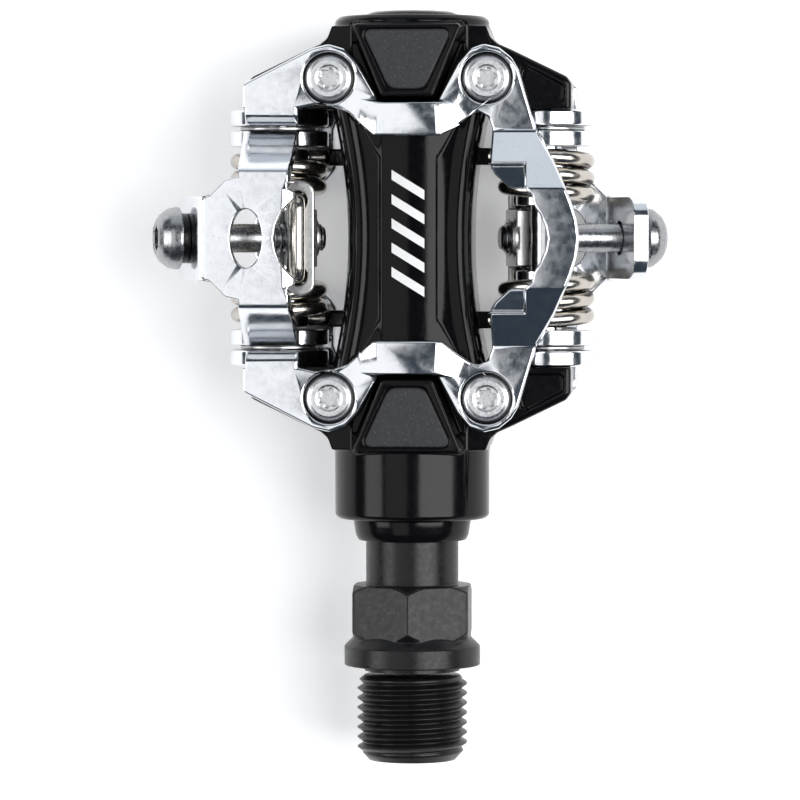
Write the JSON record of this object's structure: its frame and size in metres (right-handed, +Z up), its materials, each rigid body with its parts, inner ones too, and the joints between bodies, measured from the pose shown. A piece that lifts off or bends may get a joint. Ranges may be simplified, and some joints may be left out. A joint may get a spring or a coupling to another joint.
{
  "type": "clipless bicycle pedal",
  "caption": "Double-sided clipless pedal: body turning on a threaded spindle, each face with a fixed claw and a sprung claw on a tension bolt.",
  "frame": {"origin": "on the spindle axis, at the spindle's shoulder that seats against the crank", "axes": "+Y outboard along the spindle away from the crank, +X towards the fixed claw of the upper face, +Z up out of the upper face"},
  "size_m": [0.066, 0.097, 0.0292],
  "materials": {
    "black_oxide_steel": "black oxide on steel, satin",
    "bush_polymer": "filled bearing polymer",
    "seal_rubber": "black nitrile",
    "bearing_steel": "ground steel",
    "shield_plastic": "black moulded shield",
    "zinc_steel": "zinc plate, fine grain",
    "black_body": "gloss black coating on cast aluminium",
    "chrome": "chrome plate with slight orange peel",
    "spring_wire": "nickel-plated spring wire",
    "nickel_plate": "nickel plate, satin"
  },
  "bodies": {
    "spindle": {"spindle": "black_oxide_steel", "bearing_inner_race": "bearing_steel", "spindle_washer": "zinc_steel", "spindle_locknut": "zinc_steel"},
    "ball_ring": {"bearing_balls": "bearing_steel"},
    "pedal_body": {"pedal_body": "black_body", "seal_collar": "black_body", "end_cap": "black_body", "end_cap_oring": "seal_rubber", "bearing_outer_race": "bearing_steel", "bearing_shields": "shield_plastic", "spindle_bush": "bush_polymer", "spindle_seal": "seal_rubber", "top_plate": "chrome", "top_plate_screws": "zinc_steel", "top_pivot_pin": "bearing_steel", "top_pivot_washers": "zinc_steel", "top_spring_sleeves": "chrome", "bottom_plate": "chrome", "bottom_plate_screws": "zinc_steel", "bottom_pivot_pin": "bearing_steel", "bottom_pivot_washers": "zinc_steel", "bottom_spring_sleeves": "chrome"},
    "top_claw": {"top_claw": "chrome", "top_spring": "spring_wire"},
    "top_bolt": {"top_tension_bolt": "zinc_steel", "top_bolt_washer": "black_oxide_steel"},
    "top_nut": {"top_tension_nut": "nickel_plate"},
    "bottom_claw": {"bottom_claw": "chrome", "bottom_spring": "spring_wire"},
    "bottom_bolt": {"bottom_tension_bolt": "zinc_steel", "bottom_bolt_washer": "black_oxide_steel"},
    "bottom_nut": {"bottom_tension_nut": "nickel_plate"}
  },
  "joints": [
    {"name": "body_spin", "type": "hinge", "parent": "spindle", "child": "pedal_body", "pos_m": [0, 0.0554, 0], "axis": [0, 1, 0], "continuous": true},
    {"name": "ball_orbit", "type": "hinge", "parent": "spindle", "child": "ball_ring", "pos_m": [0, 0.0554, 0], "axis": [0, 1, 0], "continuous": true},
    {"name": "top_claw_hinge", "type": "hinge", "parent": "pedal_body", "child": "top_claw", "pos_m": [-0.01735, 0.0554, 0], "axis": [0, -1, 0], "range_deg": [0, 18], "stiffness_Nm_per_rad": 3, "springref_deg": -28.65, "deforming": ["top_spring"]},
    {"name": "top_nut_slide", "type": "slide", "parent": "top_claw", "child": "top_nut", "axis": [-0.9511, 0, 0.309], "range_m": [0, 0.00087]},
    {"name": "top_bolt_turn", "type": "hinge", "parent": "top_claw", "child": "top_bolt", "pos_m": [-0.0113, 0.0554, 0.0026], "axis": [0.9511, 0, -0.309], "range_deg": [0, 450]},
    {"name": "bottom_claw_hinge", "type": "hinge", "parent": "pedal_body", "child": "bottom_claw", "pos_m": [0.01735, 0.0554, 0], "axis": [0, -1, 0], "range_deg": [0, 18], "stiffness_Nm_per_rad": 3, "springref_deg": -28.65, "deforming": ["bottom_spring"]},
    {"name": "bottom_nut_slide", "type": "slide", "parent": "bottom_claw", "child": "bottom_nut", "axis": [0.9511, 0, -0.309], "range_m": [0, 0.00087]},
    {"name": "bottom_bolt_turn", "type": "hinge", "parent": "bottom_claw", "child": "bottom_bolt", "pos_m": [0.0113, 0.0554, -0.0026], "axis": [-0.9511, 0, 0.309], "range_deg": [0, 450]}
  ],
  "couplings": [
    {"joint": "ball_orbit", "follows": "body_spin", "ratio": 0.6},
    {"joint": "top_bolt_turn", "follows": "top_nut_slide", "rad_per_m": 8976},
    {"joint": "bottom_bolt_turn", "follows": "bottom_nut_slide", "rad_per_m": 8976}
  ]
}
